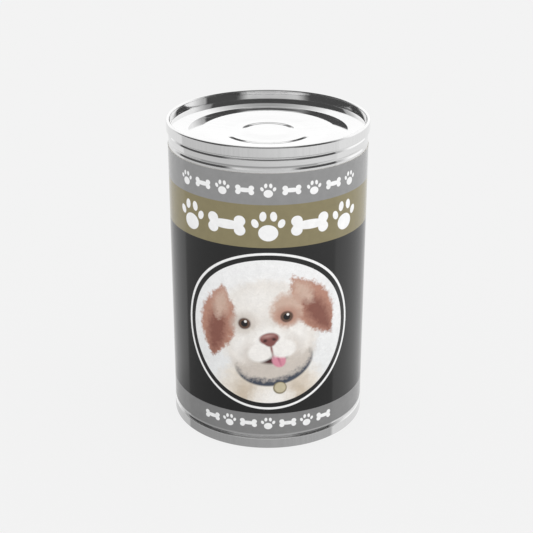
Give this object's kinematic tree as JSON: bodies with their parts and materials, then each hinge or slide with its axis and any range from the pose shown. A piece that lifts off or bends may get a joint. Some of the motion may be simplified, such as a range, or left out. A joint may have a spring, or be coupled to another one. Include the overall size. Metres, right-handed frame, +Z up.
{
  "type": "dog food can",
  "caption": "Shut steel food can with double-seamed ends, a beaded neck and a glossy wrap-around paper label in bands of grey, tan and black with a round panel",
  "frame": {"origin": "centre of the lower rim's resting plane, on the can's axis", "axes": "+Z up the axis, -Y out of the middle of the label's front, +X to the right seen from the front"},
  "size_m": [0.0746, 0.0746, 0.118],
  "materials": {
    "wall_steel": "bright tinplate, fine rolling lines round the can",
    "end_steel": "bright pressed tinplate, nearly a mirror",
    "label_paper": "printed paper under gloss varnish"
  },
  "bodies": {
    "root": {"body": "wall_steel", "lid": "end_steel", "base": "end_steel", "label": "label_paper"}
  },
  "joints": []
}
